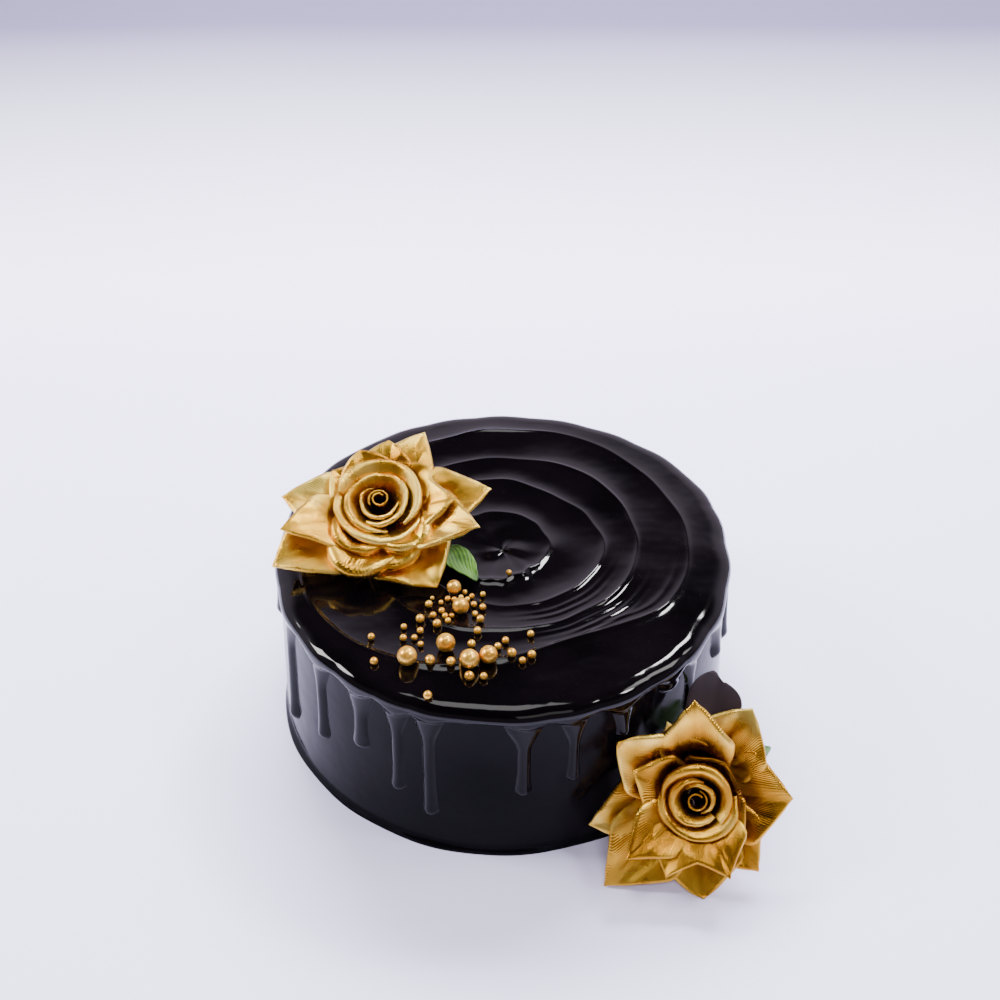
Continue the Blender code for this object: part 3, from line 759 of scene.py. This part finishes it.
def pearl_height(x, y, radius):
    """The height of a pearl's middle where it lies on the glaze."""
    best = 0.0
    for dx, dy in ((0.0, 0.0), (0.4, 0.0), (-0.4, 0.0), (0.0, 0.4), (0.0, -0.4)):
        px, py = x + dx * radius, y + dy * radius
        ground = float(full_height(np.array([math.hypot(px, py)]), np.array([math.atan2(py, px)]))[0])
        best = max(best, ground + radius * math.sqrt(1.0 - dx * dx - dy * dy))
    return best


def build_pearls(skin):
    """The large pearls are pieces of their own; the small ones are one, sunk a little into the glaze."""
    for number, (x, y, diameter) in enumerate(LARGE_PEARLS):
        radius = 0.5 * diameter * MM
        centre = (x * MM, y * MM, pearl_height(x * MM, y * MM, radius))
        points, faces = ball_mesh(centre, radius, 40, 24)
        node = f"pearl_large_{number + 1}"
        settle(make_mesh(f"sugar_pearl_{number + 1}", points, faces, [skin]), "gold_sugar", node)
    cloud, faces = [], []
    for x, y, diameter in SMALL_PEARLS:
        radius = 0.5 * diameter * MM
        centre = (x * MM, y * MM, pearl_height(x * MM, y * MM, radius) - 0.05 * radius)
        points, ball_faces = ball_mesh(centre, radius, 24, 14)
        start = len(cloud)
        cloud += points
        faces += [tuple(v + start for v in face) for face in ball_faces]
    settle(make_mesh("small_pearls", cloud, faces, [skin]), "gold_sugar", "glaze")


# The roses and leaves

def rose_frame(seat):
    """The transform from a rose's own axes, +Z out through its bud, to the cake's."""
    (x, y, z), tilt, heading = seat
    heading = math.radians(heading)
    axis = Vector((0.0, 0.0, 1.0)).cross(Vector((math.cos(heading), math.sin(heading), 0.0)))
    return Matrix.Translation(Vector((x, y, z)) * MM) @ Matrix.Rotation(math.radians(tilt), 4, axis)


def sheet_points(surface, columns, rows, thickness):
    """Points, faces and UVs of a closed thin sheet; surface takes grids of u and v and gives points."""
    u, v = np.meshgrid(columns, rows)
    step = 1e-3
    here = surface(u, v)
    across = surface(u + step, v) - surface(u - step, v)
    along = surface(u, np.minimum(v + step, 1.0)) - surface(u, np.maximum(v - step, 0.0))
    normal = np.cross(across, along)
    normal /= np.linalg.norm(normal, axis=2, keepdims=True) + 1e-12
    wide, tall = len(columns), len(rows)
    cloud = np.concatenate([here.reshape(-1, 3), (here + normal * thickness).reshape(-1, 3)])
    offset = wide * tall
    inner = grid_faces(tall, wide, False)
    faces = [face[::-1] for face in inner]
    faces += [tuple(i + offset for i in face) for face in inner]
    rim = list(range(wide))
    rim += [i * wide + wide - 1 for i in range(1, tall)]
    rim += [(tall - 1) * wide + j for j in range(wide - 2, -1, -1)]
    rim += [i * wide for i in range(tall - 2, 0, -1)]
    for i, a in enumerate(rim):
        b = rim[(i + 1) % len(rim)]
        faces.append((a, b, b + offset, a + offset))
    flat = np.stack([u, v * 1.6], axis=2).reshape(-1, 2)
    return cloud, faces, np.concatenate([flat, flat])


def petal_outline(t, length, half_width, sharpness):
    """Where the fold along a petal's edge runs: t is 0 at the tip and -1 and 1 at the two root corners."""
    v = 1.0 - 0.9 * np.abs(t)
    low = 0.45 + 0.55 * np.sin(0.5 * math.pi * np.clip(v / 0.55, 0.0, 1.0))
    high = np.clip((1.0 - v) / 0.45, 0.0, 1.0) ** sharpness
    return v * length, np.sign(t) * half_width * np.minimum(low, high)


def petal_surface(layer, petal, seed):
    """A petal: a curved midrib, a pointed outline, a cupped middle, edges rolled to the back and soft folds.

    Its first parameter goes round the outline. Its second goes from the root to the edge, then round the roll.
    """
    start, end, height, droop = layer
    direction, length, half_width, roll, sharpness = petal
    heading = math.radians(direction)
    draw = np.random.default_rng(SEED * 100 + seed)
    twist, cup = draw.uniform(-0.10, 0.10), half_width * draw.uniform(0.28, 0.42)
    phases = draw.uniform(0.0, math.tau, len(PETAL_FOLDS))

    def slope(v):
        tip = np.clip((v - 0.78) / 0.22, 0.0, None)
        return np.radians(start + (end - start) * v - droop * tip * tip)

    def base(a, b):
        """The middle of the cloth, for places along and across the petal laid flat."""
        v = a / length
        radius = np.full_like(v, PETAL_ROOT_RADIUS)
        z = np.full_like(v, height)
        steps = 24
        for i in range(steps):
            angle = slope(v * (i + 0.5) / steps)
            radius = radius + a / steps * np.cos(angle)
            z = z + a / steps * np.sin(angle)
        share = b / half_width
        rise = cup * share * share * (1.0 - 0.45 * share * share) + twist * b * v
        angle = slope(v)
        radius = radius - rise * np.sin(angle)
        z = z + rise * np.cos(angle)
        x = math.cos(heading) * radius - math.sin(heading) * b
        y = math.sin(heading) * radius + math.cos(heading) * b
        return np.stack([x, y, z], axis=2)

    def surface(t, q):
        along, across = petal_outline(t, length, half_width, sharpness)
        ahead = petal_outline(np.clip(t + 0.05, -1.0, 1.0), length, half_width, sharpness)
        behind = petal_outline(np.clip(t - 0.05, -1.0, 1.0), length, half_width, sharpness)
        run_a, run_b = ahead[0] - behind[0], ahead[1] - behind[1]
        size = np.hypot(run_a, run_b) + 1e-9
        out_a, out_b = run_b / size, -run_a / size
        inner = np.clip(q / ROLL_START, 0.0, 1.0) ** 0.8
        root_b = PETAL_ROOT_SHARE * half_width * t
        a = along * inner
        b = root_b + (across - root_b) * inner
        near_tip = smooth(np.abs(t) / 0.16)
        at_tip = SHARP_TIP_ROLL if sharpness > 0.8 else 1.0
        radius = roll * (at_tip + (1.0 - at_tip) * near_tip)
        full = math.radians(ROLL_TURN) * (1.0 - smooth((np.abs(t) - 0.72) / 0.28))
        turn = full * np.clip((q - ROLL_START) / (1.0 - ROLL_START), 0.0, 1.0)
        a = a + out_a * radius * np.sin(turn)
        b = b + out_b * radius * np.sin(turn)
        fold = np.zeros_like(a)
        for (rise, wave_b, wave_a), phase in zip(PETAL_FOLDS, phases):
            fold = fold + rise * np.sin(wave_b * b + wave_a * a + phase)
        lift = fold * smooth(inner / 0.5) - radius * (1.0 - np.cos(turn))
        step = 0.05
        here = base(a, b)
        normal = np.cross(base(a + step, b) - here, base(a, b + step) - here)
        normal /= np.linalg.norm(normal, axis=2, keepdims=True) + 1e-12
        return (here + normal * lift[..., None]) * MM

    return surface


def wrap_surface(wrap, seed):
    """A petal of the bud: it winds round the axis, stands steep, then flares to a rolled rim."""
    direction, span, waist, rim, crown, lip = wrap
    draw = np.random.default_rng(SEED * 50 + seed)
    phases = draw.uniform(0.0, math.tau, 7)

    def surface(u, v):
        angle = np.radians(direction + 0.5 * span * u)
        rise = np.clip(v / WRAP_ROLL_START, 0.0, 1.0)
        wind = 1.0 + 0.08 * u
        middle = waist * wind
        wobble = 1.0 + 0.035 * np.sin(2.6 * u + phases[0]) + 0.014 * np.sin(7.0 * u + phases[5])
        top = rim * wind * wobble
        belly = np.sin(0.5 * math.pi * np.minimum(1.0, rise / WRAP_WAIST_RISE)) ** 0.8
        flare = np.clip((rise - WRAP_FLARE_START) / (1.0 - WRAP_FLARE_START), 0.0, 1.0) ** WRAP_FLARE_POWER
        radius = 1.0 + (middle - 1.0) * belly + (top - middle) * flare
        peak = crown - 2.2 * u * u + 0.7 * np.sin(3.6 * u + phases[1])
        z = WRAP_ROOT_HEIGHT + (peak - WRAP_ROOT_HEIGHT) * rise
        uneven = 1.0 + 0.20 * np.sin(4.1 * u + phases[6])
        roll = lip * (0.40 + 0.60 * smooth((1.0 - np.abs(u)) / 0.40)) * uneven
        curl = np.clip((v - WRAP_ROLL_START) / (1.0 - WRAP_ROLL_START), 0.0, 1.0)
        curl = curl * math.radians(WRAP_ROLL_TURN)
        radius = radius + roll * (ROLL_OUT * np.sin(curl) + ROLL_UP * (1.0 - np.cos(curl)))
        z = z + roll * (ROLL_UP * np.sin(curl) - ROLL_OUT * (1.0 - np.cos(curl)))
        wrinkle = 0.10 * np.sin(11.0 * u + phases[2] + 4.0 * v)
        wrinkle = wrinkle + 0.05 * np.sin(27.0 * u + phases[3] - 4.0 * v)
        radius = radius + wrinkle * smooth(v / 0.4)
        z = z + 0.10 * np.sin(9.0 * u + phases[4]) * smooth(v / 0.6)
        return np.stack([radius * np.cos(angle), radius * np.sin(angle), z], axis=2) * MM

    return surface


def core_surface(turns, inner, outer, crown):
    """The tight roll in the middle of the bud: a ribbon that winds round, with a thin rolled rim."""
    def surface(u, v):
        share = 0.5 * (u + 1.0)
        angle = 2.0 * turns * math.pi * share + 0.6
        radius = inner + (outer - inner) * share
        height = crown - CORE_ROOT_HEIGHT + 1.2 * (1.0 - share)
        z = CORE_ROOT_HEIGHT + height * np.clip(v / CORE_ROLL_START, 0.0, 1.0)
        curl = np.clip((v - CORE_ROLL_START) / (1.0 - CORE_ROLL_START), 0.0, 1.0)
        curl = curl * math.radians(CORE_ROLL_TURN)
        radius = radius + CORE_ROLL_RADIUS * (1.0 - np.cos(curl)) + 0.5 * smooth((v - 0.55) / 0.25)
        z = z + CORE_ROLL_RADIUS * np.sin(curl)
        return np.stack([radius * np.cos(angle), radius * np.sin(angle), z], axis=2) * MM

    return surface


def placed(cloud, place):
    """Points moved by a 4x4 transform."""
    matrix = np.array(place)
    return cloud @ matrix[:3, :3].T + matrix[:3, 3]


def laid(cloud):
    """Cloth that would dip into the floor or the cake's wall lies against it instead."""
    radius = np.hypot(cloud[..., 0], cloud[..., 1])
    height = cloud[..., 2]
    beside = 1.0 - smooth((height - WALL_CONTACT_TOP) / (8.0 * MM))
    pushed = soft_max(radius, WALL_CONTACT_RADIUS, 2.0 * MM) / np.maximum(radius, MM)
    scale = 1.0 + beside * (pushed - 1.0)
    lifted = soft_max(height, FLOOR_CONTACT, 2.5 * MM)
    return np.stack([cloud[..., 0] * scale, cloud[..., 1] * scale, lifted], axis=-1)


def joined(parts):
    """Several (points, faces, uvs) as one."""
    cloud, faces, uv, start = [], [], [], 0
    for points, quads, flat in parts:
        cloud.append(points)
        uv.append(flat)
        faces += [tuple(i + start for i in face) for face in quads]
        start += len(points)
    return np.concatenate(cloud), faces, np.concatenate(uv)


def petal_columns(count):
    """Places round a petal's outline, closer together near its tip."""
    t = np.linspace(-1.0, 1.0, count)
    return np.sign(t) * (0.55 * np.abs(t) + 0.45 * t * t)


def build_petals(name, layers, place, skin, seed):
    """The open petals of a rose, as one piece. The weave repeats with each petal's width and length."""
    rows = np.concatenate([np.linspace(0.0, ROLL_START, 18), np.linspace(ROLL_START, 1.0, 13)[1:]])
    parts = []
    for i, (layer, members) in enumerate(layers):
        for j, petal in enumerate(members):
            petal_at = petal_surface(layer, petal, seed + 20 * i + j)

            def surface(t, q):
                return laid(placed(petal_at(t, q), place))

            points, faces, uv = sheet_points(surface, petal_columns(49), rows, PETAL_THICKNESS)
            parts.append((points, faces, uv * np.array([petal[2] / 10.0, petal[1] / 16.0])))
    cloud, faces, uv = joined(parts)
    settle(make_mesh(f"{name}_petal_cloth", cloud, faces, [skin], uv), "gold_fabric", f"{name}_petals")


def build_bud(name, wraps, core, place, skin, seed):
    """The wrapped petals and the roll in their middle, as one piece."""
    sheets = [(wrap_surface(wrap, seed + i), 81, 41, WRAP_WEAVE) for i, wrap in enumerate(wraps)]
    sheets.append((core_surface(*core), 121, 21, CORE_WEAVE))
    parts = []
    for surface, wide, tall, weave in sheets:
        columns, rows = np.linspace(-1.0, 1.0, wide), np.linspace(0.0, 1.0, tall)
        points, faces, uv = sheet_points(surface, columns, rows, PETAL_THICKNESS)
        parts.append((placed(points, place), faces, uv * np.array(weave)))
    cloud, faces, uv = joined(parts)
    settle(make_mesh(f"{name}_bud_cloth", cloud, faces, [skin], uv), "gold_fabric", f"{name}_bud")


def build_rose(name, layers, seat, wraps, core, skin, seed):
    place = rose_frame(seat)
    build_petals(name, layers, place, skin, seed)
    build_bud(name, wraps, core, place, skin, seed)


def build_leaf(leaf, skin, slot_name):
    """A leaf creased along its midrib, with faint veins. The round one is shorter along one side."""
    name, shape, base, direction, rise, roll, length, half_width = leaf
    turn = Matrix.Rotation(math.radians(direction), 4, "Z") @ Matrix.Rotation(math.radians(-rise), 4, "Y")
    place = Matrix.Translation(Vector(base) * MM) @ turn @ Matrix.Rotation(math.radians(roll), 4, "X")

    def surface(u, v):
        if shape == "round":
            crown = (1.0 - (np.clip(v - 0.7, 0.0, 0.3) / 0.31) ** 3) ** 0.6
            width = half_width * (0.12 + 0.88 * smooth((v - 0.12) / 0.52)) * crown
        else:
            width = half_width * np.maximum(0.04, np.sin(math.pi * np.clip(v, 0.0, 1.0) ** 0.85) ** 0.85)
        wave = 0.5 * np.sin(9.0 * v) * u * u
        crease = 0.22 * width * np.sqrt(u * u + 0.004)
        veins = 0.10 * np.sin(26.0 * (v - 0.35 * np.abs(u)))
        lift = crease + wave + veins * np.abs(u) + 1.4 * np.sin(math.pi * v)
        reach = length * v
        if shape == "round":
            reach = reach * (1.0 - 0.09 * smooth(0.5 - 0.5 * u) * v * v)
        return np.stack([reach, width * u, lift], axis=2) * MM

    columns, rows = np.linspace(-1.0, 1.0, 25), np.linspace(0.0, 1.0, 45)
    points, faces, uv = sheet_points(surface, columns, rows, LEAF_THICKNESS)
    settle(make_mesh(f"{name}_blade", placed(points, place), faces, [skin], uv), slot_name, name)


# The studio

def build_floor(skin):
    half = FLOOR_HALF_WIDTH
    points = [(-half, -half, 0.0), (half, -half, 0.0), (half, half, 0.0), (-half, half, 0.0)]
    floor = make_mesh("studio_floor", points, [(0, 1, 2, 3)], [skin])


def build_world():
    """A dim room whose pale backdrop, which the glaze mirrors, fades upward and to the front."""
    world = bpy.data.worlds.new("studio")
    bpy.context.scene.world = world
    world.use_nodes = True
    nodes, links = world.node_tree.nodes, world.node_tree.links
    place = nodes.new("ShaderNodeTexCoord")
    split = nodes.new("ShaderNodeSeparateXYZ")
    links.new(place.outputs["Generated"], split.inputs["Vector"])
    both = nodes.new("ShaderNodeMath")
    both.operation = "MULTIPLY"
    fades = (("Z", (0.48, 0.72, 1.0, 0.035)), ("Y", (-0.2, 0.4, 0.25, 1.0)))
    for number, (axis, values) in enumerate(fades):
        fade = nodes.new("ShaderNodeMapRange")
        fade.interpolation_type = "SMOOTHSTEP"
        for key, value in zip(("From Min", "From Max", "To Min", "To Max"), values):
            fade.inputs[key].default_value = value
        links.new(split.outputs[axis], fade.inputs["Value"])
        links.new(fade.outputs["Result"], both.inputs[number])
    nodes["Background"].inputs["Color"].default_value = (1.15, 0.98, 1.24, 1.0)
    links.new(both.outputs["Value"], nodes["Background"].inputs["Strength"])


def add_lamp(name, place, target, size, power, color, mirrored=True):
    """An area lamp of (width, height) metres aimed at a point, which glossy surfaces mirror or not."""
    data = bpy.data.lights.new(name, "AREA")
    data.shape = "RECTANGLE"
    data.size, data.size_y = size
    data.energy = power
    data.color = color
    lamp = bpy.data.objects.new(name, data)
    lamp.location = place
    lamp.rotation_euler = (Vector(target) - Vector(place)).to_track_quat("-Z", "Y").to_euler()
    lamp.visible_glossy = mirrored
    bpy.context.scene.collection.objects.link(lamp)


def build_lights():
    """Two lamps that aren't mirrored, to even out the floor, and softboxes that make the highlights."""
    middle = (0.0, 0.0, 0.06)
    add_lamp("floor_light", (0.0, 0.80, 1.0), (0.0, 0.22, 0.0), (1.0, 0.5), 61.0, (1.0, 0.995, 1.0), False)
    add_lamp("overhead", (-0.1, 0.2, 1.8), middle, (0.75, 0.55), 8.0, (1.0, 0.99, 1.0))
    add_lamp("window_left", (-1.15, 0.15, 1.0), middle, (0.35, 0.5), 22.0, (1.0, 0.985, 0.97))
    add_lamp("softbox_right", (0.60, 0.75, 1.35), middle, (0.24, 0.24), 16.0, (0.98, 0.97, 1.0))
    add_lamp("softbox_side", (1.05, 0.05, 1.30), middle, (0.32, 0.60), 7.0, (1.0, 0.99, 0.97))
    add_lamp("spark_right", (0.75, -0.25, 1.10), (0.06, -0.08, 0.04), (0.16, 0.16), 5.0, (1.0, 0.99, 0.97))
    add_lamp("fill_front", (0.3, -1.2, 1.4), middle, (0.7, 0.5), 2.0, (1.0, 0.99, 0.98))
    add_lamp("floor_front", (0.0, -0.9, 1.2), (0.0, -0.35, 0.0), (0.8, 0.4), 11.0, (1.0, 0.96, 1.0), False)


def build_camera():
    data = bpy.data.cameras.new("camera")
    data.lens = CAMERA_LENS
    data.sensor_width = CAMERA_SENSOR
    data.clip_start = 0.01
    camera = bpy.data.objects.new("camera", data)
    yaw, pitch, roll = (math.radians(a) for a in (CAMERA_YAW, CAMERA_PITCH, CAMERA_ROLL))
    turn = Matrix.Rotation(yaw, 4, "Z") @ Matrix.Rotation(0.5 * math.pi + pitch, 4, "X")
    turn = turn @ Matrix.Rotation(roll, 4, "Z")
    camera.matrix_world = Matrix.Translation(CAMERA_PLACE) @ turn
    bpy.context.scene.collection.objects.link(camera)
    bpy.context.scene.camera = camera


def main():
    build_camera()
    coat = glaze_material("chocolate_coat", (0.0010, 0.0007, 0.0012), (0.0022, 0.0016, 0.0026), 0.12, 0.055)
    glaze = glaze_material("chocolate_glaze", (0.0008, 0.0005, 0.0009), (0.0018, 0.0012, 0.0019), 0.06, 0.26)
    # Painted shade: the drips get a copy of the glaze with weaker reflection, so that they look darker than
    # the top
    drips = glaze_material("chocolate_drips_shaded", (0.0008, 0.0005, 0.0009), (0.0018, 0.0012, 0.0019), 0.06, 0.12)
    fabric = gold_fabric_material()
    sugar = gold_sugar_material()
    green = leaf_material("green_leaf", (0.02, 0.060, 0.010), (0.09, 0.21, 0.022), 0.45, 0.8)
    dark = leaf_material("dark_leaf", (0.019, 0.012, 0.017), (0.034, 0.022, 0.030), 0.75, 0.05)
    build_coat(coat)
    build_glaze(glaze, drips)
    build_pearls(sugar)
    build_rose("rose_top", ROSE_TOP, ROSE_TOP_SEAT, BUD_TOP, CORE_TOP, fabric, 1)
    build_rose("rose_side", ROSE_SIDE, ROSE_SIDE_SEAT, BUD_SIDE, CORE_SIDE, fabric, 301)
    for leaf in LEAVES:
        if leaf[1] == "round":
            build_leaf(leaf, dark, "dark_leaf")
        else:
            build_leaf(leaf, green, "green_leaf")
    build_floor(floor_material())
    build_world()
    build_lights()


main()
